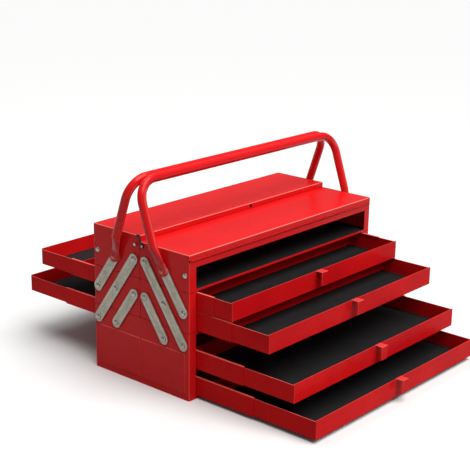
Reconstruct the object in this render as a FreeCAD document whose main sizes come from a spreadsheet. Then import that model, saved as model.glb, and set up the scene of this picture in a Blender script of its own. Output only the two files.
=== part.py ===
import FreeCAD, Part

import math
import os

# Cantilever tool box with drawers.
# X runs along the length, the drawers of the front side open towards -Y, and +Z is up.
# The origin is at the middle of the base, on the face that the box rests on.

# Driving dimensions, in millimetres, apart from counts and shares
DRIVING = {
    # case
    "case_length": 460,
    "case_width": 208,
    "sheet": 1.0,
    "corner_radius": 2.2,
    "base_height": 109.8,
    "mid_height": 63.4,
    "top_height": 49.2,
    "front_lid_height": 10,
    "back_lid_height": 19,
    "seam_gap": 0.8,
    "split_gap": 1.0,
    "jamb_width": 15,
    "sill_height": 4,
    "rail_height": 4,
    "window_sill": 3,
    "header_height": 9.3,
    "panel_rise": 0.8,
    "panel_low": 12,
    "panel_head": 33.8,
    "panel_side": 9,
    "panel_split": 4,
    "panel_soft_share": 0.9,
    "lid_round": 1.4,
    "layers_between_drawers": 3,
    # drawers
    "tray_top_room": 0.4,
    "back_tray_side": 25.5,
    "base_side_share": 0.2559,
    "back_lower_side_share": 0.2322,
    "front_rise": 1.7,
    "tray_sheet": 0.9,
    "tray_corner": 1.2,
    "half_rear_room": 6,
    "full_rear_room": 8,
    "slide_gap": 0.3,
    "stack_gap": 0.2,
    "lip_sheet": 0.7,
    "lip_reach": 3,
    "slide_sheet": 1.0,
    "slide_setback": 1.2,
    "rail_setback": 3,
    "mat_thickness": 2,
    "mat_gap": 1,
    "level_four": 7,
    "drawer_gap": 1.1,
    "rail_top_room": 0.3,
    "back_upper_rise": 25.9,
    "reach_one": 70,
    "reach_two": 141,
    "reach_three": 189,
    "reach_four": 230,
    "reach_back_upper": 150,
    "reach_back_lower": 181,
    # pulls
    "pull_width": 15,
    "pull_offset": 4.5,
    "pull_sheet": 0.8,
    "pull_gap": 0.15,
    "pull_reach": 12,
    "pull_drop": 22,
    "pull_back": 4,
    # linkage
    "pivot_edge": 11,
    "pivot_inner": 12,
    "pivot_base_drop": 20.8,
    "pivot_tier_drop": 5.9,
    "outer_drop": 5,
    "arm_width": 17,
    "arm_sheet": 2.5,
    "arm_rib_width": 4,
    "arm_rib_depth": 0.5,
    "layer_gap": 0.3,
    "shank_radius": 2.4,
    "pivot_gap": 0.08,
    "head_radius": 4.4,
    "head_height": 1.9,
    "head_sink_share": 0.25,
    "tail_height": 1.2,
    "tail_share": 1.5,
    "spare_rivet_inset": 9,
    "spare_rivet_drop": 23,
    # handles
    "tube_radius": 7,
    "handle_bend": 34,
    "grip_rise": 107,
    "grip_gap": 1.4,
    "handle_spread": 11,
    "lug_sheet": 3,
    "leg_flat": 10,
    "leg_round": 38,
    # lid hinges
    "barrel_radius": 1.5,
    "hinge_pin_radius": 0.8,
    "hinge_gap": 0.3,
    "hinge_sheet": 0.8,
    "hinge_leaf": 7,
    "hinge_inset": 2.5,
    "knuckles": 9,
    # lock
    "lock_place": 31,
    "lock_radius": 3,
    "lock_depth": 8,
    "lock_proud": 0.3,
    "key_slot_width": 1.1,
    "key_slot_length": 4,
    "cam_length": 9,
    "cam_width": 4,
    # hook
    "hook_pivot_across": 6,
    "hook_pivot_rise": 4,
    "hook_lean_across": 8,
    "hook_lean_up": 12,
    "hook_ring": 5,
    "hook_bore": 2,
    "hook_mouth_room": 1.2,
    "hook_sheet": 1.4,
    "hook_boss": 3.4,
    "hook_arm": 3.4,
    "hook_shank": 1.2,
    "hook_head": 2.4,
    "stud_radius": 1.5,
    "stud_head": 2.4,
    "stud_proud": 2.2,
    # shared
    "overrun": 2,
}

doc = FreeCAD.newDocument("tool_box")
sheet_object = doc.addObject("Spreadsheet::Sheet", "dims")


class Size:
    """A length with its value and the text that binds it to the sheet's cells."""

    def __init__(self, value, text):
        self.value = float(value)
        self.text = text

    def __add__(self, other):
        other = sized(other)
        return Size(self.value + other.value, f"({self.text} + {other.text})")

    def __sub__(self, other):
        other = sized(other)
        return Size(self.value - other.value, f"({self.text} - {other.text})")

    def __mul__(self, factor):
        factor = sized(factor)
        return Size(self.value * factor.value, f"({self.text} * {factor.text})")

    def __truediv__(self, factor):
        factor = sized(factor)
        return Size(self.value / factor.value, f"({self.text} / {factor.text})")

    def __neg__(self):
        return Size(-self.value, f"(-1 * {self.text})")


def sized(value):
    if isinstance(value, Size):
        return value
    return Size(value, repr(value))


def span(across, up):
    """The straight distance over two sides of a right angle."""
    text = f"sqrt({across.text} ^ 2 + {up.text} ^ 2)"
    return Size(math.hypot(across.value, up.value), text)


def slope(across, up):
    """The lean from upright, in degrees."""
    text = f"atan({across.text} / {up.text})"
    return Size(math.degrees(math.atan(across.value / up.value)), text)


def fill_sheet():
    sizes = {}
    for row, (name, value) in enumerate(DRIVING.items(), 1):
        sheet_object.set(f"A{row}", name)
        sheet_object.set(f"B{row}", str(value))
        sheet_object.setAlias(f"B{row}", name)
        sizes[name] = Size(value, f"dims.{name}")
    doc.recompute()
    return sizes


d = fill_sheet()
ZERO = sized(0)

# Worked sizes that more than one piece uses
half_length = d["case_length"] / 2
half_width = d["case_width"] / 2
half_split = d["split_gap"] / 2
end_inner = half_length - d["sheet"]
opening_half = half_length - d["jamb_width"]
mid_floor = d["base_height"] + d["seam_gap"]
mid_top = mid_floor + d["mid_height"]
top_floor = mid_top + d["seam_gap"]
hinge_level = top_floor + d["top_height"]
hook_pivot_level = hinge_level + d["hook_pivot_rise"]
half_depth = half_width - d["half_rear_room"]
full_depth = d["case_width"] - d["full_rear_room"]
slide_outer = opening_half - d["slide_setback"]
slide_inner = slide_outer - d["slide_sheet"]
tray_half = slide_inner - d["slide_gap"]
lower_lip = d["lip_sheet"] + d["stack_gap"]
upper_lip = (d["stack_gap"] + d["lip_sheet"]) * 2
layer_stack = (d["stack_gap"] + d["lip_sheet"]) * d["layers_between_drawers"] + d["stack_gap"]
level_two = mid_floor + d["sheet"] + d["stack_gap"] + lower_lip
tray_side = (mid_top - level_two - layer_stack - upper_lip - d["tray_top_room"]) / 2
level_one = level_two + tray_side + layer_stack
level_back_upper = mid_floor + d["back_upper_rise"]
base_side = d["base_height"] * d["base_side_share"]
back_lower_side = d["base_height"] * d["back_lower_side_share"]
level_back_lower = d["base_height"] - back_lower_side - upper_lip - d["rail_top_room"]
level_three = level_back_lower - lower_lip - d["drawer_gap"] - d["front_rise"] - base_side
arm_inner = half_length + d["layer_gap"]
arm_outer = arm_inner + d["arm_sheet"]
lug_inner = arm_outer + d["layer_gap"]
lug_outer = lug_inner + d["lug_sheet"]

# The stud stands where the hook's ring comes down level with the hook's pivot
stud_across = span(d["hook_lean_across"], d["hook_lean_up"]) - d["hook_pivot_across"]

# The small hole at the near end of each top tray, as built at the front: its place across and its radius
hook_holes = {
    "front": (-d["hook_pivot_across"], d["hook_shank"]),
    "back": (-stud_across, d["stud_radius"]),
}

made = {}


def bind(thing, name, size):
    thing.setExpression(name, size.text)


def place(thing, x, y, z, axis=None, angle=None):
    """Sets where a thing stands, and how it is turned, from sizes."""
    if axis is not None:
        turn = angle.value if isinstance(angle, Size) else angle
        thing.Placement.Rotation = FreeCAD.Rotation(FreeCAD.Vector(*axis), turn)
        if isinstance(angle, Size):
            bind(thing, "Placement.Rotation.Angle", angle)
    for letter, size in zip("xyz", (x, y, z)):
        bind(thing, f"Placement.Base.{letter}", sized(size))
    return thing


def box(name, x, y, z):
    """A block between two places on each axis."""
    block = doc.addObject("Part::Box", name)
    bind(block, "Length", x[1] - x[0])
    bind(block, "Width", y[1] - y[0])
    bind(block, "Height", z[1] - z[0])
    return place(block, x[0], y[0], z[0])


# Edge numbers of a block: its four upright edges, and the four round its top and its bottom
UPRIGHT = {"low_y": (1, 5), "high_y": (3, 7), "all": (1, 3, 5, 7)}
TOP = {"low_x": 2, "high_x": 6, "low_y": 10, "high_y": 12}


def rounded(name, block, edges, radius):
    """The block with the named edges rounded."""
    doc.recompute()
    result = doc.addObject("Part::Fillet", name)
    result.Base = block
    result.Edges = [(edge, radius.value, radius.value) for edge in edges]
    return result


TURNS = {"x": ((0, 1, 0), 90), "y": ((1, 0, 0), -90), "z": ((0, 0, 1), 0)}


def cylinder(name, along, radius, low, high, first, second):
    """A round bar along an axis, from low to high; first and second place it on the other two axes."""
    bar = doc.addObject("Part::Cylinder", name)
    bind(bar, "Radius", radius)
    bind(bar, "Height", high - low)
    axis, angle = TURNS[along]
    places = {"x": (low, first, second), "y": (first, low, second), "z": (first, second, low)}
    return place(bar, *places[along], axis, angle)


def fuse(name, pieces):
    result = doc.addObject("Part::MultiFuse", name)
    result.Shapes = pieces
    return result


def group(name, pieces):
    result = doc.addObject("Part::Compound", name)
    result.Links = pieces
    return result


def cut(name, base, tools):
    result = doc.addObject("Part::Cut", name)
    result.Base = base
    result.Tool = tools[0] if len(tools) == 1 else fuse(f"{name}_cuts", tools)
    return result


def mirrored(name, source, normal):
    result = doc.addObject("Part::Mirroring", name)
    result.Source = source
    result.Base = (0, 0, 0)
    result.Normal = normal
    return result


ACROSS_LENGTH = (1, 0, 0)
ACROSS_WIDTH = (0, 1, 0)


def both_ends(name, near):
    """A piece at the near end and its mirror image at the far end."""
    return group(name, [near, mirrored(f"{name}_far", near, ACROSS_LENGTH)])


def piece(name, thing):
    """Takes a finished sub-part under its own name."""
    thing.Label = name
    made[name] = thing
    return thing


# Linkage pivots of the front side, as places across and up; the back side mirrors them
pivot_base = d["base_height"] - d["pivot_base_drop"]
step_across = (half_width - d["pivot_edge"] - d["pivot_inner"]) / 2
step_up = d["mid_height"] - d["pivot_tier_drop"]
pivots = {
    "base_outer": (-(d["pivot_inner"] + step_across * 2), pivot_base),
    "base_inner": (-(d["pivot_inner"] + step_across), pivot_base),
    "mid_centre": (-(d["pivot_inner"] + step_across), pivot_base + step_up),
    "mid_inner": (-d["pivot_inner"], pivot_base + step_up),
    "mid_outer": (-(d["pivot_inner"] + step_across * 2), pivot_base + step_up - d["outer_drop"]),
    "top_inner": (-d["pivot_inner"], pivot_base + step_up * 2),
    "top_outer": (-(d["pivot_inner"] + step_across), pivot_base + step_up * 2 - d["outer_drop"]),
    "spare": (-(half_width - d["spare_rivet_inset"]), hinge_level - d["spare_rivet_drop"]),
}
BASE_PIVOTS = ("base_outer", "base_inner")
MID_PIVOTS = ("mid_centre", "mid_inner", "mid_outer")
TOP_PIVOTS = ("top_inner", "top_outer", "spare")


def pivot_bores(name, names, side):
    """Bars that cut the rivet holes through both end plates; side is 1 at the front, -1 at the back."""
    bores = []
    for number, pivot in enumerate(names):
        across, up = pivots[pivot]
        reach = half_length + d["overrun"]
        bores.append(cylinder(f"{name}_{number}", "x", d["shank_radius"], -reach, reach, across * side, up))
    return bores


# Base shell


def embossed_panel(name, y_low, y_high):
    """A shallow panel pressed outwards in the end plate, with a soft border."""
    across_end = (-(half_length + d["panel_rise"]), -half_length)
    panel_high = d["base_height"] - d["panel_head"]
    block = box(name, across_end, (y_low, y_high), (d["panel_low"], panel_high))
    return rounded(f"{name}_soft", block, (1, 2, 3, 4), d["panel_rise"] * d["panel_soft_share"])


def make_base_shell():
    outer = box(
        "base_outer_box",
        (-half_length, half_length),
        (-half_width, half_width),
        (ZERO, d["base_height"]),
    )
    skin = rounded("base_skin", outer, UPRIGHT["all"], d["corner_radius"])
    inner = box(
        "base_inner_box",
        (-end_inner, end_inner),
        (-(half_width - d["sheet"]), half_width - d["sheet"]),
        (d["sheet"], d["base_height"] + d["overrun"]),
    )
    hollow = rounded("base_hollow", inner, UPRIGHT["all"], d["corner_radius"] - d["sheet"])
    through = half_width + d["overrun"]
    front_opening = box(
        "base_front_opening",
        (-opening_half, opening_half),
        (-through, -(half_width - d["overrun"])),
        (d["sheet"] + d["sill_height"], d["base_height"] - d["rail_height"]),
    )
    back_opening = box(
        "base_back_opening",
        (-opening_half, opening_half),
        (half_width - d["overrun"], through),
        (level_back_lower - lower_lip - d["sheet"], d["base_height"] + d["overrun"]),
    )
    bores = pivot_bores("base_bore_front", BASE_PIVOTS, 1)
    bores += pivot_bores("base_bore_back", BASE_PIVOTS, -1)
    walls = cut("base_walls", skin, [hollow, front_opening, back_opening] + bores)
    half_rib = d["panel_split"] / 2
    edge = half_width - d["panel_side"]
    panels = [
        embossed_panel("panel_front", -edge, -half_rib),
        embossed_panel("panel_back", half_rib, edge),
    ]
    panels += [mirrored(f"{panel.Name}_far", panel, ACROSS_LENGTH) for panel in panels]
    piece("base_shell", fuse("base_shell_body", [walls] + panels))


# Middle trays


def make_mid_shell(side):
    """Half of the middle tier, built at the front; the back one has an opening for one drawer."""
    name = f"mid_shell_{side}"
    outer = box(
        f"{name}_outer", (-half_length, half_length), (-half_width, -half_split), (mid_floor, mid_top)
    )
    skin = rounded(f"{name}_skin", outer, UPRIGHT["low_y"], d["corner_radius"])
    inner = box(
        f"{name}_inner",
        (-end_inner, end_inner),
        (-(half_width - d["sheet"]), -(half_split + d["sheet"])),
        (mid_floor + d["sheet"], mid_top + d["overrun"]),
    )
    hollow = rounded(f"{name}_hollow", inner, UPRIGHT["low_y"], d["corner_radius"] - d["sheet"])
    low = mid_floor + d["sheet"]
    high = mid_top + d["overrun"]
    if side == "back":
        low = level_back_upper - lower_lip - d["sheet"]
        high = level_back_upper + d["back_tray_side"] + d["front_rise"] + d["sheet"] * 2
    opening = box(
        f"{name}_opening",
        (-opening_half, opening_half),
        (-(half_width + d["overrun"]), -(half_width - d["overrun"])),
        (low, high),
    )
    shell = cut(f"{name}_cut", skin, [hollow, opening] + pivot_bores(f"{name}_bore", MID_PIVOTS, 1))
    if side == "back":
        shell = mirrored(f"{name}_body", shell, ACROSS_WIDTH)
    piece(name, shell)


# Top trays


def make_top_shell(side, lid_height):
    """Half of the top tier: a tray with a long window in its outer side, built at the front."""
    name = f"top_shell_{side}"
    end_top = hinge_level + lid_height - d["sheet"] - d["layer_gap"]
    side_top = hinge_level - d["barrel_radius"] - d["hinge_gap"]
    across_case = (-half_length, half_length)
    outer = box(f"{name}_outer", across_case, (-half_width, -half_split), (top_floor, end_top))
    skin = rounded(f"{name}_skin", outer, UPRIGHT["low_y"], d["corner_radius"])
    inner = box(
        f"{name}_inner",
        (-end_inner, end_inner),
        (-(half_width - d["sheet"]), -(half_split + d["sheet"])),
        (top_floor + d["sheet"], end_top + d["overrun"]),
    )
    hollow = rounded(f"{name}_hollow", inner, UPRIGHT["low_y"], d["corner_radius"] - d["sheet"])
    reach = half_length + d["overrun"]
    lid_room = box(
        f"{name}_lid_room",
        (-reach, reach),
        (-(half_width + d["overrun"]), -(half_width - d["sheet"] - d["layer_gap"] * 2)),
        (side_top, end_top + d["overrun"]),
    )
    inner_wall_cut = box(
        f"{name}_inner_cut",
        (-end_inner, end_inner),
        (-(half_split + d["overrun"]), d["overrun"]),
        (hinge_level + d["barrel_radius"], end_top + d["overrun"]),
    )
    window = box(
        f"{name}_window",
        (-opening_half, opening_half),
        (-(half_width + d["overrun"]), -(half_width - d["overrun"])),
        (top_floor + d["window_sill"], side_top - d["header_height"]),
    )
    across, radius = hook_holes[side]
    hook_hole = cylinder(f"{name}_hook_hole", "x", radius, -reach, ZERO, across, hook_pivot_level)
    tools = [hollow, lid_room, inner_wall_cut, window, hook_hole]
    tools += pivot_bores(f"{name}_bore", TOP_PIVOTS, 1)
    shell = cut(f"{name}_cut", skin, tools)
    if side == "back":
        shell = mirrored(f"{name}_body", shell, ACROSS_WIDTH)
    piece(name, shell)


def make_top_mat(side):
    """The liner that lies in a top tray."""
    name = f"top_mat_{side}"
    inset = d["mat_gap"] + d["sheet"]
    mat = box(
        name,
        (-(half_length - inset - d["tail_height"]), half_length - inset - d["tail_height"]),
        (-(half_width - inset), -(half_split + inset)),
        (top_floor + d["sheet"], top_floor + d["sheet"] + d["mat_thickness"]),
    )
    if side == "back":
        mat = mirrored(f"{name}_back", mat, ACROSS_WIDTH)
    piece(name, mat)


# Lids


def make_lid(side, lid_height):
    """A lid with an outer skirt, an inner skirt and nested end flanges, built at the front."""
    name = f"lid_{side}"
    low = hinge_level + d["barrel_radius"] + d["hinge_gap"]
    top = hinge_level + lid_height
    flange_outer = end_inner - d["layer_gap"]
    outer = box(f"{name}_outer", (-half_length, half_length), (-half_width, -half_split), (low, top))
    round_edges = UPRIGHT["low_y"] + (TOP["low_x"], TOP["high_x"], TOP["low_y"])
    if side == "back":
        round_edges += (TOP["high_y"],)
    skin = rounded(f"{name}_skin", outer, round_edges, d["lid_round"])
    hollow = box(
        f"{name}_hollow",
        (-(flange_outer - d["sheet"]), flange_outer - d["sheet"]),
        (-(half_width - d["sheet"]), -(half_split + d["sheet"])),
        (low - d["overrun"], top - d["sheet"]),
    )
    near_end = box(
        f"{name}_near_end",
        (-(half_length + d["overrun"]), -flange_outer),
        (-(half_width - d["sheet"]), d["overrun"]),
        (low - d["overrun"], top - d["sheet"]),
    )
    far_end = mirrored(f"{name}_far_end", near_end, ACROSS_LENGTH)
    tools = [hollow, near_end, far_end]
    if side == "back":
        tools.append(
            cylinder(
                f"{name}_lock_hole",
                "y",
                d["lock_radius"] + d["pivot_gap"],
                -(half_split + d["overrun"]),
                d["overrun"],
                d["lock_place"],
                lock_level,
            )
        )
    lid = cut(f"{name}_cut", skin, tools)
    if side == "back":
        lid = mirrored(f"{name}_body", lid, ACROSS_WIDTH)
    piece(name, lid)


# Lid hinges: a row of knuckles that belong to the tray and the lid in turn


def knuckle_places(own):
    """The X spans of the knuckles that the tray (own 0) or the lid (own 1) holds."""
    count = int(d["knuckles"].value)
    low = -(half_length - d["hinge_inset"])
    step = (half_length - d["hinge_inset"]) * 2 / d["knuckles"]
    gap = d["hinge_gap"] / 2
    return [
        (low + step * number + gap, low + step * (number + 1) - gap)
        for number in range(count)
        if number % 2 == own
    ]


def make_hinge_leaf(side, own, name):
    """A leaf lies flat inside the skirt or the header, and its knuckles turn round the pin."""
    upward = 1 if own else -1
    barrel_edge = hinge_level + (d["barrel_radius"] + d["hinge_gap"]) * upward
    leaf_end = barrel_edge + d["hinge_leaf"] * upward
    levels = sorted((barrel_edge, leaf_end), key=lambda size: size.value)
    inner = -(half_width - d["sheet"])
    half_leaf = half_length - d["hinge_inset"]
    pieces = [box(f"{name}_leaf", (-half_leaf, half_leaf), (inner, inner + d["hinge_sheet"]), levels)]
    for number, place_x in enumerate(knuckle_places(own)):
        ring = cylinder(
            f"{name}_ring_{number}",
            "x",
            d["barrel_radius"],
            *place_x,
            -half_width,
            hinge_level,
        )
        web_levels = sorted((hinge_level, barrel_edge), key=lambda size: size.value)
        web = box(
            f"{name}_web_{number}",
            place_x,
            (-(half_width - d["hinge_pin_radius"] - d["pivot_gap"] * 2), inner + d["hinge_sheet"]),
            web_levels,
        )
        pieces += [ring, web]
    bore = cylinder(
        f"{name}_bore",
        "x",
        d["hinge_pin_radius"] + d["pivot_gap"],
        -half_length,
        half_length,
        -half_width,
        hinge_level,
    )
    leaf = cut(f"{name}_cut", fuse(f"{name}_fused", pieces), [bore])
    if side == "back":
        leaf = mirrored(f"{name}_body", leaf, ACROSS_WIDTH)
    piece(name, leaf)


def make_hinge_pin(side):
    name = f"lid_hinge_pin_{side}"
    reach = half_length - d["hinge_inset"]
    pin = cylinder(name, "x", d["hinge_pin_radius"], -reach, reach, -half_width, hinge_level)
    if side == "back":
        pin = mirrored(f"{name}_back", pin, ACROSS_WIDTH)
    piece(name, pin)


# Lock in the raised edge of the back lid

lock_level = hinge_level + (d["front_lid_height"] + d["back_lid_height"]) / 2


def make_lock():
    face = half_split - d["lock_proud"]
    barrel = cylinder(
        "lock_body", "y", d["lock_radius"], face, face + d["lock_depth"], d["lock_place"], lock_level
    )
    half_slot = d["key_slot_width"] / 2
    half_key = d["key_slot_length"] / 2
    key_slot = box(
        "lock_key_slot",
        (d["lock_place"] - half_slot, d["lock_place"] + half_slot),
        (face - d["overrun"], face + d["overrun"]),
        (lock_level - half_key, lock_level + half_key),
    )
    cam = box(
        "lock_cam",
        (d["lock_place"], d["lock_place"] + d["cam_length"]),
        (face + d["lock_depth"] - d["sheet"], face + d["lock_depth"]),
        (lock_level - d["cam_width"] / 2, lock_level + d["cam_width"] / 2),
    )
    piece("lock_barrel", cut("lock_cut", fuse("lock_fused", [barrel, cam]), [key_slot]))


# Hook that holds the two top trays together at the near end


def make_hook():
    across = -d["hook_pivot_across"]
    up = hook_pivot_level
    ring_across = across + d["hook_lean_across"]
    ring_up = up + d["hook_lean_up"]
    outer = -(half_length + d["layer_gap"] + d["hook_sheet"])
    inner = -(half_length + d["layer_gap"])
    boss = cylinder("hook_boss_disc", "x", d["hook_boss"], outer, inner, across, up)
    ring = cylinder("hook_ring_disc", "x", d["hook_ring"], outer, inner, ring_across, ring_up)
    lean = slope(d["hook_lean_across"], d["hook_lean_up"])
    length = span(d["hook_lean_across"], d["hook_lean_up"])
    arm = doc.addObject("Part::Box", "hook_arm_bar")
    bind(arm, "Length", d["hook_sheet"])
    bind(arm, "Width", d["hook_arm"])
    bind(arm, "Height", length)
    holder = centred_on_line("hook_arm_holder", arm, d["hook_arm"], outer, across, up, -lean)
    reach = d["overrun"]
    hole = cylinder("hook_hole", "x", d["hook_bore"], outer - reach, inner + reach, ring_across, ring_up)
    mouth_bar = box(
        "hook_mouth_bar",
        (outer - reach, inner + reach),
        (ZERO, d["hook_ring"] + reach),
        (-(d["hook_bore"] + d["hook_mouth_room"]), d["hook_bore"]),
    )
    mouth = place(group("hook_mouth", [mouth_bar]), ZERO, ring_across, ring_up, (1, 0, 0), -lean)
    pivot_hole = cylinder(
        "hook_pivot_hole", "x", d["hook_shank"] + d["pivot_gap"], outer - reach, inner + reach, across, up
    )
    hook = cut("hook_cut", fuse("hook_fused", [boss, ring, holder]), [hole, mouth, pivot_hole])
    piece("lid_hook", hook)


def centred_on_line(name, bar, width, x, across, up, lean):
    """The bar stands on a pivot, centred on its line and turned by its lean about X."""
    bind(bar, "Placement.Base.y", -(width / 2))
    holder = group(name, [bar])
    return place(holder, x, across, up, (1, 0, 0), lean)


# Rivets


def pin(name, head_foot, across, up, shank, head, height, inner_end):
    """A pin through the near end plate, with a round head outside."""
    sink = height * d["head_sink_share"]
    bar = cylinder(f"{name}_shank", "x", shank, -(head_foot + sink), -inner_end, across, up)
    dome = doc.addObject("Part::Ellipsoid", f"{name}_head")
    bind(dome, "Radius1", height)
    bind(dome, "Radius2", head)
    bind(dome, "Radius3", head)
    dome.Angle1 = 0
    dome.Angle2 = 90
    place(dome, -head_foot, across, up, (0, 1, 0), -90)
    return [bar, dome]


HEAD_FEET = {"top_outer": lug_outer + d["layer_gap"], "spare": half_length}
tail_inner = end_inner - d["tail_height"]
tail_radius = d["shank_radius"] * d["tail_share"]


def rivet_row(name, names):
    """Rivets with a round head outside, a shank, and a flat tail inside the end plate."""
    row = []
    for number, pivot in enumerate(names):
        label = f"{name}_{number}"
        across, up = pivots[pivot]
        head_foot = HEAD_FEET.get(pivot, arm_outer + d["layer_gap"])
        sizes = (d["shank_radius"], d["head_radius"], d["head_height"])
        solids = pin(label, head_foot, across, up, *sizes, tail_inner)
        solids.append(cylinder(f"{label}_tail", "x", tail_radius, -end_inner, -tail_inner, across, up))
        row.append(fuse(label, solids))
    return row


def make_rivets():
    near = rivet_row("base_rivet", BASE_PIVOTS)
    near += [mirrored(f"{item.Name}_back", item, ACROSS_WIDTH) for item in near]
    piece("base_rivets", both_ends("base_rivet_set", group("base_rivet_near", near)))
    for tier, names in (("mid", MID_PIVOTS), ("top", TOP_PIVOTS)):
        near = group(f"{tier}_rivet_near", rivet_row(f"{tier}_rivet", names))
        front = both_ends(f"{tier}_rivet_set", near)
        back = mirrored(f"{tier}_rivet_back", front, ACROSS_WIDTH)
        if tier == "top":
            hook_head_foot = half_length + d["layer_gap"] * 2 + d["hook_sheet"]
            sizes = (d["hook_shank"], d["hook_head"], d["hook_shank"])
            where = (-d["hook_pivot_across"], hook_pivot_level)
            hook_pin = fuse("hook_pin_whole", pin("hook_pin", hook_head_foot, *where, *sizes, end_inner))
            front = group("top_rivet_front_all", [front, hook_pin])
            back = group("top_rivet_back_all", [back, make_hook_stud()])
        piece(f"{tier}_rivets_front", front)
        piece(f"{tier}_rivets_back", back)


def make_hook_stud():
    """A post on the back tray's end plate, with a head that keeps the hook on."""
    outer = half_length + d["stud_proud"]
    where = (stud_across, hook_pivot_level)
    post = cylinder("hook_stud_post", "x", d["stud_radius"], -outer, -end_inner, *where)
    head = cylinder("hook_stud_head", "x", d["stud_head"], -(outer + d["sheet"]), -outer, *where)
    return fuse("hook_stud", [post, head])


# Arms of the linkage

arm_lean = slope(step_across, step_up)
arm_pitch = span(step_across, step_up)


def make_arm(name, foot, bays):
    """A flat bar with round ends, bored at each pivot and grooved along both edges."""
    length = arm_pitch * bays
    width = d["arm_width"]
    bar = box(f"{name}_bar", (ZERO, d["arm_sheet"]), (-(width / 2), width / 2), (ZERO, length))
    ends = [
        cylinder(f"{name}_end_{number}", "x", width / 2, ZERO, d["arm_sheet"], ZERO, level)
        for number, level in enumerate((ZERO, length))
    ]
    tools = []
    for number in range(bays + 1):
        tools.append(
            cylinder(
                f"{name}_bore_{number}",
                "x",
                d["shank_radius"] + d["pivot_gap"],
                -d["overrun"],
                d["arm_sheet"] + d["overrun"],
                ZERO,
                arm_pitch * number,
            )
        )
    rib = d["arm_rib_width"] / 2
    for number in range(bays):
        low = arm_pitch * number + width / 2
        high = arm_pitch * (number + 1) - width / 2
        groove = box(f"{name}_groove_{number}", (-d["overrun"], d["arm_rib_depth"]), (-rib, rib), (low, high))
        tools.append(groove)
    arm = cut(f"{name}_cut", fuse(f"{name}_blank", [bar] + ends), tools)
    across, up = pivots[foot]
    holder = group(f"{name}_holder", [arm])
    place(holder, -arm_outer, across, up, (1, 0, 0), -arm_lean)
    front = both_ends(f"{name}_pair", holder)
    piece(f"{name}s_front", front)
    piece(f"{name}s_back", mirrored(f"{name}_back_pair", front, ACROSS_WIDTH))


# Handles


def make_handles():
    """A bent tube whose flattened ends turn on the outer top pivots; it leans until the two grips meet."""
    across, up = pivots["top_outer"]
    grip_across = d["tube_radius"] + d["grip_gap"] / 2
    rise = hinge_level + d["grip_rise"] - up
    run = -across - grip_across
    reach = span(run, rise)
    lean = slope(run, rise)
    leg = half_length + d["handle_spread"]
    bend = d["handle_bend"]
    radius = d["tube_radius"]
    straight = cylinder("handle_leg", "z", radius, d["leg_round"], reach - bend, -leg, ZERO)
    corner = doc.addObject("Part::Torus", "handle_corner")
    bind(corner, "Radius1", bend)
    bind(corner, "Radius2", radius)
    corner.Angle3 = 90
    place(corner, -(leg - bend), ZERO, reach - bend, (0, 1, 1), 180)
    round_end = doc.addObject("Part::Circle", "handle_round_end")
    bind(round_end, "Radius", radius)
    place(round_end, -leg, ZERO, d["leg_round"], (0, 0, 1), 90)
    flat_end = doc.addObject("Part::Ellipse", "handle_flat_end")
    half_lug = d["lug_sheet"] / 2
    bind(flat_end, "MajorRadius", d["arm_width"] / 2)
    bind(flat_end, "MinorRadius", half_lug)
    place(flat_end, -(lug_inner + half_lug), ZERO, d["leg_flat"], (0, 0, 1), 90)
    taper = doc.addObject("Part::Loft", "handle_taper")
    taper.Sections = [round_end, flat_end]
    taper.Solid = True
    lug_disc = cylinder("handle_lug_disc", "x", d["arm_width"] / 2, -lug_outer, -lug_inner, ZERO, ZERO)
    half = d["arm_width"] / 2
    lug_bar = box("handle_lug_bar", (-lug_outer, -lug_inner), (-half, half), (ZERO, d["leg_flat"] + half_lug))
    hole = cylinder(
        "handle_hole",
        "x",
        d["shank_radius"] + d["pivot_gap"],
        -(lug_outer + d["overrun"]),
        -(lug_inner - d["overrun"]),
        ZERO,
        ZERO,
    )
    lug = cut("handle_lug", fuse("handle_lug_blank", [lug_disc, lug_bar]), [hole])
    near = [straight, corner, taper, lug]
    far = [mirrored(f"{item.Name}_far", item, ACROSS_LENGTH) for item in near]
    grip = cylinder("handle_grip", "x", radius, -(leg - bend), leg - bend, ZERO, reach)
    whole = fuse("handle_whole", near + [grip] + far)
    holder = group("handle_holder", [whole])
    place(holder, ZERO, across, up, (1, 0, 0), -lean)
    piece("handle_front", holder)
    piece("handle_back", mirrored("handle_back_body", holder, ACROSS_WIDTH))


# Drawers: each has a tray, a liner mat, a pull, and a sliding member at each end


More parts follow.
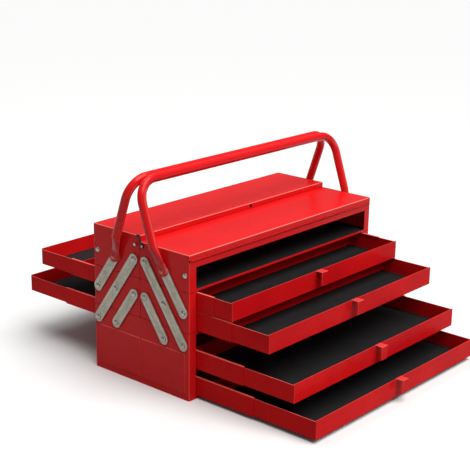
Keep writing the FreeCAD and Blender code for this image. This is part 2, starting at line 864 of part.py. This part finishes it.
def make_drawer(name, level, side_height, depth, reach, side):
    """A drawer pulled out by reach from flush; side is the way it opens, 1 for the front."""
    front = -(half_width + reach)
    rear = front + depth
    wall = d["tray_sheet"]
    side_top = level + side_height
    crown = side_top + d["front_rise"]
    outer = box(f"{name}_outer", (-tray_half, tray_half), (front, rear), (level, crown))
    skin = rounded(f"{name}_skin", outer, UPRIGHT["all"], d["tray_corner"])
    inside = tray_half - wall
    hollow = box(
        f"{name}_hollow",
        (-inside, inside),
        (front + wall, rear - wall),
        (level + wall, crown + d["overrun"]),
    )
    over = tray_half + d["overrun"]
    trim = box(
        f"{name}_trim",
        (-over, over),
        (front + d["tray_corner"], rear + d["overrun"]),
        (side_top, crown + d["overrun"]),
    )
    half_notch = d["pull_width"] / 2 + d["pull_gap"]
    notch = box(
        f"{name}_notch",
        (-(d["pull_offset"] + half_notch), -(d["pull_offset"] - half_notch)),
        (front - d["overrun"], front + d["overrun"]),
        (crown - d["pull_sheet"] - d["pull_gap"], crown + d["overrun"]),
    )
    tray = cut(f"{name}_cut", skin, [hollow, trim, notch])
    mat_inset = wall + d["mat_gap"]
    mat = box(
        f"{name}_liner",
        (-(tray_half - mat_inset), tray_half - mat_inset),
        (front + mat_inset, rear - mat_inset),
        (level + wall, level + wall + d["mat_thickness"]),
    )
    pull = make_pull(name, crown, front)
    for label, thing in ((f"{name}_tray", tray), (f"{name}_mat", mat), (f"{name}_pull", pull)):
        piece(label, thing if side > 0 else mirrored(f"{label}_back", thing, ACROSS_WIDTH))
    make_slides(name, level, side_height, depth, reach, side)


def make_pull(name, crown, front):
    """A strip folded over the front's top edge, in its notch: a tongue inside, and a plate hung before the front."""
    half = d["pull_width"] / 2
    across = (-(d["pull_offset"] + half), -(d["pull_offset"] - half))
    top = crown - d["pull_sheet"]
    edge = front - d["pull_reach"]
    back = front + d["tray_sheet"] + d["pull_gap"]
    inside = back + d["pull_sheet"]
    tab = box(f"{name}_tab_flat", across, (edge, inside), (top, crown))
    tongue = box(f"{name}_tab_tongue", across, (back, inside), (top - d["pull_back"], crown))
    plate = box(f"{name}_tab_plate", across, (edge, edge + d["pull_sheet"]), (crown - d["pull_drop"], crown))
    return fuse(f"{name}_tab", [tab, tongue, plate])


def make_slides(name, level, side_height, depth, reach, side):
    """Channel members between the tray and the case, pulled out half as far as the tray."""
    front = -(half_width - d["slide_setback"] + reach / 2)
    rear = -(half_width - depth + reach / 2)
    bottom = level - lower_lip
    top = level + side_height + d["stack_gap"] + d["lip_sheet"]
    tip = tray_half - d["lip_reach"]
    web = box(f"{name}_web", (-slide_outer, -slide_inner), (front, rear), (bottom, top))
    low_lip = box(f"{name}_low_lip", (-slide_outer, -tip), (front, rear), (bottom, bottom + d["lip_sheet"]))
    high_lip = box(f"{name}_high_lip", (-slide_outer, -tip), (front, rear), (top - d["lip_sheet"], top))
    near = fuse(f"{name}_channel", [web, low_lip, high_lip])
    pair = both_ends(f"{name}_channels", near)
    label = f"{name}_slides"
    piece(label, pair if side > 0 else mirrored(f"{label}_back", pair, ACROSS_WIDTH))


# Fixed rails on the end plates, whose ledges carry and hold down the sliding members


def rail(name, levels, side_height, depth, with_foot, near_pivots):
    """The near-end rail of a stack of like drawers that open at the front, clear of the rivets near it."""
    front = -(half_width - d["rail_setback"])
    rear = -(half_width - depth)
    ledge = tray_half - d["lip_reach"] / 2
    ledges = []
    for level in levels:
        under_top = level - lower_lip - d["stack_gap"]
        if with_foot:
            ledges.append((under_top - d["lip_sheet"], under_top))
        over_low = level + side_height + d["stack_gap"] * 2 + d["lip_sheet"]
        ledges.append((over_low, over_low + d["lip_sheet"]))
    pieces = [
        box(f"{name}_ledge_{number}", (-end_inner, -ledge), (front, rear), ledge_levels)
        for number, ledge_levels in enumerate(ledges)
    ]
    low = min((pair[0] for pair in ledges), key=lambda size: size.value)
    if not with_foot:
        low = mid_floor + d["sheet"]
    high = max((pair[1] for pair in ledges), key=lambda size: size.value)
    web = box(f"{name}_web", (-end_inner, -(end_inner - d["sheet"])), (front, rear), (low, high))
    whole = fuse(f"{name}_whole", [web] + pieces)
    clear = [
        cylinder(
            f"{name}_clear_{number}",
            "x",
            tail_radius + d["layer_gap"],
            -(end_inner + d["overrun"]),
            -(tail_inner - d["layer_gap"]),
            *place_across_and_up,
        )
        for number, place_across_and_up in enumerate(near_pivots)
    ]
    return cut(name, whole, clear)


def make_rails():
    base_pivots = [pivots[name] for name in BASE_PIVOTS]
    base_pivots += [(-across, up) for across, up in base_pivots]
    mid_pivots = [pivots[name] for name in MID_PIVOTS]
    base_levels = [level_three, d["level_four"]]
    base_front = rail("base_rail_front", base_levels, base_side, full_depth, True, base_pivots)
    back_levels = [level_back_lower]
    base_back = rail("base_rail_back", back_levels, back_lower_side, full_depth, True, base_pivots)
    base_near = group("base_rail_near", [base_front, mirrored("base_rail_turned", base_back, ACROSS_WIDTH)])
    piece("base_rails", both_ends("base_rail_set", base_near))
    mid_levels = [level_two, level_one]
    mid_front = rail("mid_rail_front", mid_levels, tray_side, half_depth, False, mid_pivots)
    piece("mid_rails_front", both_ends("mid_rail_front_set", mid_front))
    upper_levels = [level_back_upper]
    mid_back = rail("mid_rail_back", upper_levels, d["back_tray_side"], half_depth, True, mid_pivots)
    turned = mirrored("mid_rail_turned", mid_back, ACROSS_WIDTH)
    piece("mid_rails_back", both_ends("mid_rail_back_set", turned))


def check(things):
    """Stops on any object that failed, or any finished piece with no good shape."""
    for thing in things:
        if "Invalid" in thing.State or "Error" in thing.State:
            raise RuntimeError(f"{thing.Name} failed: {thing.State}")
    for name, thing in made.items():
        if thing.Shape.isNull() or not thing.Shape.isValid() or not thing.Shape.Solids:
            raise RuntimeError(f"{name} has no good shape")


make_base_shell()
for side in ("front", "back"):
    lid_height = d[f"{side}_lid_height"]
    make_mid_shell(side)
    make_top_shell(side, lid_height)
    make_top_mat(side)
    make_lid(side, lid_height)
    make_hinge_leaf(side, 0, f"tray_hinge_leaf_{side}")
    make_hinge_leaf(side, 1, f"lid_hinge_leaf_{side}")
    make_hinge_pin(side)
make_lock()
make_hook()
make_rivets()
make_arm("long_arm", "base_outer", 2)
make_arm("short_arm", "base_inner", 1)
make_arm("upper_arm", "mid_outer", 1)
make_handles()
make_rails()
make_drawer("drawer_one", level_one, tray_side, half_depth, d["reach_one"], 1)
make_drawer("drawer_two", level_two, tray_side, half_depth, d["reach_two"], 1)
make_drawer("drawer_three", level_three, base_side, full_depth, d["reach_three"], 1)
make_drawer("drawer_four", d["level_four"], base_side, full_depth, d["reach_four"], 1)
back_upper = (level_back_upper, d["back_tray_side"], half_depth)
make_drawer("back_drawer_upper", *back_upper, d["reach_back_upper"], -1)
back_lower = (level_back_lower, back_lower_side, full_depth)
make_drawer("back_drawer_lower", *back_lower, d["reach_back_lower"], -1)

doc.recompute()
check(doc.Objects)
os.makedirs("parts", exist_ok=True)
for name, thing in made.items():
    thing.Shape.exportStep(f"parts/{name}.step")
print(len(made), "pieces,", sum(len(thing.Shape.Solids) for thing in made.values()), "solids")
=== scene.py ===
"""Looks of the cantilever tool box: paint, galvanised arms, rivets, liners, light and camera."""
import math

import bpy
from mathutils import Matrix, Vector


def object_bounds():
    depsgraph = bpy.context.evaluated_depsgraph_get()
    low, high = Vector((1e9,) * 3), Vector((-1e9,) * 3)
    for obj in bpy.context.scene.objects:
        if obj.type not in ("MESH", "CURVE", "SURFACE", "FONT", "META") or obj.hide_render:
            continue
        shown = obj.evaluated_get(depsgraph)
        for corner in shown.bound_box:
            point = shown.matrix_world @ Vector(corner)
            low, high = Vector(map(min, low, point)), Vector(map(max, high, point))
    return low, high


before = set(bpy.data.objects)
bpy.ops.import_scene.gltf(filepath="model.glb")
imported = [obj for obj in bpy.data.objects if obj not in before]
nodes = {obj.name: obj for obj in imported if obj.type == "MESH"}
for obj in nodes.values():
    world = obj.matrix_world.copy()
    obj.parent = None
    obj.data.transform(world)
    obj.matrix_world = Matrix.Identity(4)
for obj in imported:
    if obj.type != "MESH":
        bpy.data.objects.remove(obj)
cad_low, cad_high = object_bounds()

# Photograph's frame, and the camera fitted to it, in pixels, metres and degrees
FRAME_SIDE = 470
FOCAL_PIXELS = 1199.64
OPTIC_CENTRE = (237.87, 241.83)
CAMERA_PLACE = (-1.45121, -1.25449, 0.77602)
CAMERA_YAW = 49.131
CAMERA_PITCH = 17.210
CAMERA_ROLL = 0.822
SENSOR_MM = 36
CLIP_NEAR = 0.05
CLIP_FAR = 60

# Colours, as linear red, green and blue
RED = (0.74, 0.009, 0.010)
RED_SHELL_SHADE = (0.69, 0.009, 0.011)
RED_TUBE_SHADE = (0.66, 0.009, 0.012)
RED_DEEP = (0.60, 0.006, 0.009)
# A darker copy of the same red paint, a painted shade, for the rails inside the case and the hinge leaves
RED_PAINTED_SHADE = (0.42, 0.006, 0.008)
# A pale pink painted highlight, mixed into the red paint on rounded folds, drawer rims, the handles' leg
# edges and bevelled sheet edges
RED_PAINTED_HIGHLIGHT = (0.95, 0.26, 0.21)
ZINC = (0.41, 0.385, 0.32)
ZINC_DARK = (0.24, 0.225, 0.18)
ZINC_SPANGLE = (0.62, 0.61, 0.57)
RIVET = (0.36, 0.34, 0.31)
RIVET_DARK = (0.12, 0.10, 0.09)
RIVET_PAINTED = (0.34, 0.07, 0.06)
RUBBER = (0.008, 0.008, 0.009)
RUBBER_DUST = (0.015, 0.015, 0.015)
BLACK_STEEL = (0.008, 0.008, 0.009)
BLACK_WORN = (0.06, 0.055, 0.055)
STEEL = (0.48, 0.48, 0.47)
STEEL_DARK = (0.30, 0.29, 0.28)
FLOOR_SEEN = (0.78, 0.78, 0.77)
FLOOR_LIT = (0.20, 0.19, 0.18)
STUDIO_LIGHT = (0.22, 0.22, 0.23)

# How strongly each finish mirrors its surroundings when seen straight on
PAINT_GLOSS = 0.13
DRAWER_GLOSS = 0.04
TUBE_GLOSS = 0.18
EDGE_GLOSS = 0.5
BLACK_GLOSS = 0.2
FLOOR_GLOSS = 0.1

# How far the bump of each finish rises, in metres
PAINT_BUMP = 0.0004
EDGE_BUMP = 0.00005
ZINC_BUMP = 0.00012
STEEL_BUMP = 0.00006
LINER_BUMP = 0.00025
COATING_BUMP = 0.00008
FLOOR_BUMP = 0.0001

# Widths of the rounded edges, in metres
SHEET_EDGE = 0.0004
FITTING_EDGE = 0.0004
ARM_EDGE = 0.0006
PULL_EDGE = 0.0003
LINER_EDGE = 0.0005
SAME_POINT = 0.00001
SHARP_EDGE = math.radians(38)

# Places on the part, in metres: where the drawers' side walls and the handles' legs begin along the case, and
# so where their painted highlights start, how wide the change of colour is there, and where the rivets
# through the handles are
WALL_PLACE = 0.2112
WALL_BAND = 0.0002
LEG_PLACE = 0.2330
LEG_INSIDE = 0.0040
LEG_OUTSIDE = 0.0030
HANDLE_RIVET_ACROSS = 0.0525
HANDLE_RIVET_RISE = 0.1990
HANDLE_RIVET_REACH = 0.0100

# Lean of the linkage arms from upright, as in the CAD
ARM_LEAN = math.radians(35.16)

# Spans of a noise pattern where most of its values lie, and the whole share of a blend
PATTERN = (0.3, 0.7)
NARROW_PATTERN = (0.35, 0.65)
WIDE_PATTERN = (0.35, 0.70)
WHOLE_SHARE = (0, 1)

# Half the side of the floor, in metres
FLOOR_HALF = 14


class Nodes:
    """A material's node tree, with short calls that add and join nodes."""

    def __init__(self, name):
        self.material = bpy.data.materials.new(name)
        self.material.use_nodes = True
        self.tree = self.material.node_tree
        self.shader = self.tree.nodes["Principled BSDF"]
        coordinates = self.add("ShaderNodeTexCoord")
        self.place = coordinates.outputs["Object"]
        self.facing = coordinates.outputs["Normal"]

    def add(self, kind, **settings):
        node = self.tree.nodes.new(kind)
        for key, value in settings.items():
            setattr(node, key, value)
        return node

    def join(self, source, target):
        self.tree.links.new(source, target)

    def turned(self, source, angle):
        """The place turned about X, so that a leaning bar stands upright in it."""
        node = self.add("ShaderNodeVectorRotate", rotation_type="X_AXIS")
        node.inputs["Angle"].default_value = angle
        self.join(source, node.inputs["Vector"])
        return node.outputs["Vector"]

    def stretched(self, source, scale):
        node = self.add("ShaderNodeMapping")
        node.inputs["Scale"].default_value = scale
        self.join(source, node.inputs["Vector"])
        return node.outputs["Vector"]

    def noise(self, source, per_metre, detail=2.0, rough=0.5, warp=0.0):
        node = self.add("ShaderNodeTexNoise")
        node.inputs["Scale"].default_value = per_metre
        node.inputs["Detail"].default_value = detail
        node.inputs["Roughness"].default_value = rough
        node.inputs["Distortion"].default_value = warp
        self.join(source, node.inputs["Vector"])
        return node.outputs["Fac"]

    def cells(self, source, per_metre):
        node = self.add("ShaderNodeTexVoronoi", feature="F1")
        node.inputs["Scale"].default_value = per_metre
        self.join(source, node.inputs["Vector"])
        return node.outputs["Color"]

    def parts(self, source):
        """The sizes of a vector's three parts, all as positive numbers."""
        node = self.add("ShaderNodeVectorMath", operation="ABSOLUTE")
        self.join(source, node.inputs[0])
        split = self.add("ShaderNodeSeparateXYZ")
        self.join(node.outputs["Vector"], split.inputs["Vector"])
        return split.outputs

    def near(self, source, value, reach):
        """One where a number is within reach of a value, and nought elsewhere."""
        node = self.add("ShaderNodeMath", operation="COMPARE")
        self.join(source, node.inputs[0])
        node.inputs[1].default_value = value
        node.inputs[2].default_value = reach
        return node.outputs[0]

    def product(self, first, second):
        node = self.add("ShaderNodeMath", operation="MULTIPLY")
        self.join(first, node.inputs[0])
        self.join(second, node.inputs[1])
        return node.outputs[0]

    def ramp(self, source, span, values):
        """Maps a number from one span to another, and holds it at the ends."""
        node = self.add("ShaderNodeMapRange")
        for key, value in zip(("From Min", "From Max", "To Min", "To Max"), (*span, *values)):
            node.inputs[key].default_value = value
        self.join(source, node.inputs["Value"])
        return node.outputs["Result"]

    def blend(self, share, first, second):
        """Mixes two colours, each a tuple or an output."""
        node = self.add("ShaderNodeMix", data_type="RGBA")
        self.join(share, node.inputs["Factor"])
        for socket, colour in zip((node.inputs[6], node.inputs[7]), (first, second)):
            if isinstance(colour, tuple):
                socket.default_value = (*colour, 1)
            else:
                self.join(colour, socket)
        return node.outputs[2]

    def sum(self, *terms):
        """A weighted sum of outputs, given as (output, weight) pairs."""
        total = None
        for source, weight in terms:
            scaled = self.add("ShaderNodeMath", operation="MULTIPLY")
            self.join(source, scaled.inputs[0])
            scaled.inputs[1].default_value = weight
            if total is None:
                total = scaled.outputs[0]
                continue
            added = self.add("ShaderNodeMath", operation="ADD")
            self.join(total, added.inputs[0])
            self.join(scaled.outputs[0], added.inputs[1])
            total = added.outputs[0]
        return total

    def finish(self, colour, roughness, height, depth, metallic=0.0):
        """Joins colour, roughness and a bump of the given depth in metres to the shader."""
        self.join(colour, self.shader.inputs["Base Color"])
        self.join(roughness, self.shader.inputs["Roughness"])
        bump = self.add("ShaderNodeBump")
        bump.inputs["Strength"].default_value = 1.0
        bump.inputs["Distance"].default_value = depth
        self.join(height, bump.inputs["Height"])
        self.join(bump.outputs["Normal"], self.shader.inputs["Normal"])
        self.shader.inputs["Metallic"].default_value = metallic
        return self.material


def enamel(name, colour, shade, gloss, ripple, shine=PAINT_GLOSS, folded=True, rims=False, legs=False):
    """Baked gloss paint on pressed sheet: orange peel, slow waves of the sheet, and faint handling marks.

    Where the sheet is folded, along the rims of a drawer, and on the narrow edges of the handles' legs, a
    pale painted highlight is mixed into the colour. The gloss is a roughness, so a lower one shines more.
    """
    n = Nodes(name)
    slow = n.noise(n.place, per_metre=9, detail=3)
    patches = n.noise(n.place, per_metre=38, detail=3, rough=0.55)
    peel = n.noise(n.place, per_metre=620, detail=1.5)
    waves = n.noise(n.place, per_metre=22, detail=1)
    smears = n.noise(n.stretched(n.place, (1.0, 3.5, 2.2)), per_metre=45, detail=5, rough=0.65, warp=0.4)
    base = n.blend(n.ramp(slow, NARROW_PATTERN, WHOLE_SHARE), colour, shade)
    # Painted highlight: faces whose normals lie between the axes, the rounded folds, are mixed towards the
    # pale highlight red; worn holds this painted highlight, not wear
    if folded:
        x, y, z = n.parts(n.facing)
        folds = n.sum((n.product(x, z), 1.0), (n.product(y, z), 1.0), (n.product(x, y), 0.35))
        worn = n.ramp(folds, (0.10, 0.40), (0, 0.75))
        # Drawer parts: faces that look up get the painted highlight too, stronger on the top rims of the end
        # walls
        if rims:
            at_walls = n.ramp(n.parts(n.place)[0], (WALL_PLACE - WALL_BAND, WALL_PLACE), (0.15, 0.60))
            facing_up = n.ramp(z, (0.80, 0.95), WHOLE_SHARE)
            worn = n.sum((worn, 1.0), (n.product(facing_up, at_walls), 1.0))
        base = n.blend(worn, base, RED_PAINTED_HIGHLIGHT)
    # Handles: a painted highlight along the narrow front and back edges of the legs
    if legs:
        leg_span = (LEG_PLACE - LEG_INSIDE, LEG_PLACE + LEG_OUTSIDE)
        at_legs = n.ramp(n.parts(n.place)[0], leg_span, WHOLE_SHARE)
        narrow = n.ramp(n.parts(n.facing)[1], (0.90, 0.99), (0, 0.45))
        base = n.blend(n.product(narrow, at_legs), base, RED_PAINTED_HIGHLIGHT)
    smeared = n.ramp(smears, WIDE_PATTERN, (gloss, gloss + 0.08))
    patched = n.ramp(patches, PATTERN, (-0.03, 0.03))
    rough = n.sum((smeared, 1.0), (patched, 1.0))
    height = n.sum((peel, 0.04), (waves, ripple))
    n.shader.inputs["Specular IOR Level"].default_value = shine
    return n.finish(base, rough, height, PAINT_BUMP)


def enamel_highlight(name):
    """Painted highlight for the rounded folds and cut edges of the paint: a pale pink colour, with patches of
    the plain red, and it shines.
    """
    n = Nodes(name)
    # The noise named wear breaks the painted highlight up with patches of the plain red, and varies its
    # roughness and bump
    wear = n.noise(n.place, per_metre=130, detail=5, rough=0.7)
    base = n.blend(n.ramp(wear, WIDE_PATTERN, WHOLE_SHARE), RED_PAINTED_HIGHLIGHT, RED)
    n.shader.inputs["Specular IOR Level"].default_value = EDGE_GLOSS
    return n.finish(base, n.ramp(wear, PATTERN, (0.22, 0.34)), wear, EDGE_BUMP)


def galvanised(name, angle):
    """Zinc on steel bar: streaks along the bar, faint spangle, and greyer handling marks."""
    n = Nodes(name)
    upright = n.turned(n.place, angle)
    streaks = n.noise(n.stretched(upright, (14, 14, 0.6)), per_metre=120, detail=6, rough=0.7)
    clouds = n.noise(upright, per_metre=70, detail=4, rough=0.6)
    spangle = n.cells(n.stretched(upright, (1, 1, 0.6)), per_metre=420)
    pits = n.noise(n.place, per_metre=1500, detail=2)
    base = n.blend(n.ramp(streaks, PATTERN, WHOLE_SHARE), ZINC_DARK, ZINC)
    base = n.blend(n.ramp(clouds, (0.45, 0.75), (0, 0.55)), base, ZINC_DARK)
    base = n.blend(n.ramp(spangle, (0.2, 0.9), (0, 0.18)), base, ZINC_SPANGLE)
    clouded = n.ramp(clouds, PATTERN, (0.36, 0.52))
    streaked = n.ramp(streaks, PATTERN, (-0.05, 0.05))
    rough = n.sum((clouded, 1.0), (streaked, 1.0))
    height = n.sum((streaks, 0.35), (pits, 0.10))
    return n.finish(base, rough, height, ZINC_BUMP, metallic=0.75)


def bright_metal(name, colour, dark, low_gloss, high_gloss, per_metre, painted=False):
    """Turned or plated steel with fine marks and stains. Painted: the rivets through the handles are red."""
    n = Nodes(name)
    marks = n.noise(n.stretched(n.place, (0.4, 1, 1)), per_metre, detail=4, rough=0.6)
    stains = n.noise(n.place, per_metre=170, detail=3)
    base = n.blend(n.ramp(stains, (0.40, 0.75), (0, 0.7)), colour, dark)
    if painted:
        x, y, z = n.parts(n.place)
        near_across = n.near(y, HANDLE_RIVET_ACROSS, HANDLE_RIVET_REACH)
        near_rise = n.near(z, HANDLE_RIVET_RISE, HANDLE_RIVET_REACH)
        base = n.blend(n.product(near_across, near_rise), base, RIVET_PAINTED)
    rough = n.ramp(marks, PATTERN, (low_gloss, high_gloss))
    return n.finish(base, rough, marks, STEEL_BUMP, metallic=0.9)


def rubber(name):
    """Thin rubber liner: fine grain, a little dust, and hardly any gloss."""
    n = Nodes(name)
    grain = n.noise(n.place, per_metre=1300, detail=3, rough=0.7)
    dust = n.noise(n.place, per_metre=35, detail=5, rough=0.65)
    base = n.blend(n.ramp(dust, (0.45, 0.80), (0, 0.8)), RUBBER, RUBBER_DUST)
    rough = n.ramp(grain, PATTERN, (0.62, 0.86))
    n.shader.inputs["Specular IOR Level"].default_value = BLACK_GLOSS
    return n.finish(base, rough, grain, LINER_BUMP)


def black_paint(name):
    """Black coated steel, a little worn: the hook and the lock."""
    n = Nodes(name)
    grain = n.noise(n.place, per_metre=900, detail=3)
    wear = n.noise(n.place, per_metre=240, detail=5, rough=0.7)
    base = n.blend(n.ramp(wear, (0.60, 0.75), (0, 0.4)), BLACK_STEEL, BLACK_WORN)
    n.shader.inputs["Specular IOR Level"].default_value = BLACK_GLOSS
    return n.finish(base, n.ramp(grain, PATTERN, (0.28, 0.45)), grain, COATING_BUMP)


def dress(material, *names):
    """Gives CAD nodes their material."""
    for name in names:
        data = nodes[name].data
        data.materials.clear()
        data.materials.append(material)


def soften(width, *names, highlight_paint=None):
    """Rounds the sharp edges of pressed and bent parts, so that they catch the light."""
    for name in names:
        thing = nodes[name]
        weld = thing.modifiers.new("weld", "WELD")
        weld.merge_threshold = SAME_POINT
        bevel = thing.modifiers.new("edges", "BEVEL")
        bevel.width = width
        bevel.segments = 2
        bevel.limit_method = "ANGLE"
        bevel.angle_limit = SHARP_EDGE
        # With a highlight paint given, the faces of the bevel take it: a painted highlight along the sharp
        # edges
        if highlight_paint is not None:
            thing.data.materials.append(highlight_paint)
            bevel.material = 1
        normals = thing.modifiers.new("normals", "WEIGHTED_NORMAL")
        normals.keep_sharp = True
        normals.weight = 80


DRAWERS = (
    "drawer_one",
    "drawer_two",
    "drawer_three",
    "drawer_four",
    "back_drawer_upper",
    "back_drawer_lower",
)
SIDES = ("front", "back")


def dress_all():
    shell = enamel("red_enamel_shell", RED, RED_SHELL_SHADE, gloss=0.27, ripple=0.9)
    drawer = enamel(
        "red_enamel_drawer",
        RED,
        RED_DEEP,
        gloss=0.25,
        ripple=1.4,
        shine=DRAWER_GLOSS,
        rims=True,
    )
    # Painted shade: the rails and hinge leaves get a darker copy of the red paint
    shaded_red = enamel("red_enamel_painted_shade", RED_PAINTED_SHADE, RED_DEEP, gloss=0.34, ripple=0.6, folded=False)
    tube = enamel(
        "red_enamel_tube",
        RED,
        RED_TUBE_SHADE,
        gloss=0.17,
        ripple=0.3,
        shine=TUBE_GLOSS,
        folded=False,
        legs=True,
    )
    zinc_front = galvanised("galvanised_front_arms", ARM_LEAN)
    zinc_back = galvanised("galvanised_back_arms", -ARM_LEAN)
    rivet = bright_metal("zinc_rivets", RIVET, RIVET_DARK, 0.22, 0.40, per_metre=700, painted=True)
    steel = bright_metal("steel_pins", STEEL, STEEL_DARK, 0.25, 0.42, per_metre=900)
    mat = rubber("black_liner")
    dress(shell, "base_shell")
    for side in SIDES:
        dress(shell, f"mid_shell_{side}", f"top_shell_{side}", f"lid_{side}")
        dress(shaded_red, f"mid_rails_{side}")
        dress(tube, f"handle_{side}")
        dress(shaded_red, f"tray_hinge_leaf_{side}", f"lid_hinge_leaf_{side}")
        dress(steel, f"lid_hinge_pin_{side}")
        dress(rivet, f"mid_rivets_{side}", f"top_rivets_{side}")
        dress(mat, f"top_mat_{side}")
        zinc = zinc_front if side == "front" else zinc_back
        dress(zinc, f"long_arms_{side}", f"short_arms_{side}", f"upper_arms_{side}")
    dress(shaded_red, "base_rails")
    dress(rivet, "base_rivets")
    dress(black_paint("black_fittings"), "lock_barrel", "lid_hook")
    for name in DRAWERS:
        dress(drawer, f"{name}_tray", f"{name}_slides", f"{name}_pull")
        dress(mat, f"{name}_mat")


def soften_all():
    # The rounded edges of the sheet parts get a pale painted highlight
    highlight_paint = enamel_highlight("red_enamel_painted_highlight")
    for side in SIDES:
        soften(SHEET_EDGE, f"lid_{side}", f"mid_shell_{side}", f"top_shell_{side}", highlight_paint=highlight_paint)
        soften(ARM_EDGE, f"long_arms_{side}", f"short_arms_{side}", f"upper_arms_{side}")
    soften(SHEET_EDGE, "base_shell", highlight_paint=highlight_paint)
    soften(FITTING_EDGE, "lid_hook", "lock_barrel")
    for name in DRAWERS:
        soften(SHEET_EDGE, f"{name}_tray", highlight_paint=highlight_paint)
        soften(PULL_EDGE, f"{name}_pull", highlight_paint=highlight_paint)
        soften(LINER_EDGE, f"{name}_mat")


# Camera, lights and floor


def aim(thing, target):
    """Turns a lamp so that it shines at a point."""
    way = Vector(target) - thing.location
    thing.rotation_mode = "QUATERNION"
    thing.rotation_quaternion = way.to_track_quat("-Z", "Y")


def make_camera():
    data = bpy.data.cameras.new("photo_camera")
    camera = bpy.data.objects.new("photo_camera", data)
    bpy.context.scene.collection.objects.link(camera)
    yaw, pitch, roll = (math.radians(v) for v in (CAMERA_YAW, CAMERA_PITCH, CAMERA_ROLL))
    forward = Vector((math.sin(yaw) * math.cos(pitch), math.cos(yaw) * math.cos(pitch), -math.sin(pitch)))
    level = Vector((math.cos(yaw), -math.sin(yaw), 0))
    up = level.cross(forward)
    right = level * math.cos(roll) + up * math.sin(roll)
    up = up * math.cos(roll) - level * math.sin(roll)
    turn = Matrix((right, up, -forward)).transposed()
    camera.matrix_world = Matrix.Translation(CAMERA_PLACE) @ turn.to_4x4()
    data.sensor_width = SENSOR_MM
    data.lens = FOCAL_PIXELS / FRAME_SIDE * SENSOR_MM
    data.shift_x = (FRAME_SIDE / 2 - OPTIC_CENTRE[0]) / FRAME_SIDE
    data.shift_y = (OPTIC_CENTRE[1] - FRAME_SIDE / 2) / FRAME_SIDE
    data.clip_start = CLIP_NEAR
    data.clip_end = CLIP_FAR
    bpy.context.scene.camera = camera


def softbox(name, place, target, width, height, watts):
    """A wide lamp, placed and sized in metres."""
    data = bpy.data.lights.new(name, "AREA")
    data.shape = "RECTANGLE"
    data.size, data.size_y = width, height
    data.energy = watts
    lamp = bpy.data.objects.new(name, data)
    bpy.context.scene.collection.objects.link(lamp)
    lamp.location = place
    aim(lamp, target)


def sunlight(name, toward, strength, spread):
    """A distant lamp that shines from toward to the origin, with soft shadows from its spread in degrees."""
    data = bpy.data.lights.new(name, "SUN")
    data.energy = strength
    data.angle = math.radians(spread)
    lamp = bpy.data.objects.new(name, data)
    bpy.context.scene.collection.objects.link(lamp)
    lamp.location = Vector(toward) * 2
    aim(lamp, (0, 0, 0))


def background_rays(tree):
    """One where a ray comes from the camera, or through gloss or glass, and nought elsewhere."""
    path = tree.nodes.new("ShaderNodeLightPath")
    total = path.outputs["Is Camera Ray"]
    for name in ("Is Glossy Ray", "Is Transmission Ray"):
        add = tree.nodes.new("ShaderNodeMath")
        add.operation = "MAXIMUM"
        tree.links.new(total, add.inputs[0])
        tree.links.new(path.outputs[name], add.inputs[1])
        total = add.outputs[0]
    return total


def make_world():
    world = bpy.data.worlds.new("studio")
    world.use_nodes = True
    world.node_tree.nodes["Background"].inputs["Color"].default_value = (*STUDIO_LIGHT, 1)
    bpy.context.scene.world = world


def make_floor():
    corners = [(x * FLOOR_HALF, y * FLOOR_HALF, 0) for x, y in ((-1, -1), (1, -1), (1, 1), (-1, 1))]
    mesh = bpy.data.meshes.new("studio_floor")
    mesh.from_pydata(corners, [], [(0, 1, 2, 3)])
    floor = bpy.data.objects.new("studio_floor", mesh)
    bpy.context.scene.collection.objects.link(floor)
    floor.location.z = cad_low.z
    n = Nodes("pale_floor")
    seen = background_rays(n.tree)
    base = n.blend(seen, FLOOR_LIT, FLOOR_SEEN)
    grain = n.noise(n.place, per_metre=300, detail=2)
    n.shader.inputs["Specular IOR Level"].default_value = FLOOR_GLOSS
    mesh.materials.append(n.finish(base, n.ramp(grain, PATTERN, (0.75, 0.9)), grain, FLOOR_BUMP))


dress_all()
soften_all()
make_camera()
make_world()
make_floor()
sunlight("key", toward=(0.04, -0.44, 0.90), strength=3.7, spread=55)
softbox("over", place=(0.15, 0.55, 1.6), target=(0, 0, 0.2), width=1.5, height=0.6, watts=6)
bpy.context.scene.view_settings.view_transform = "Standard"
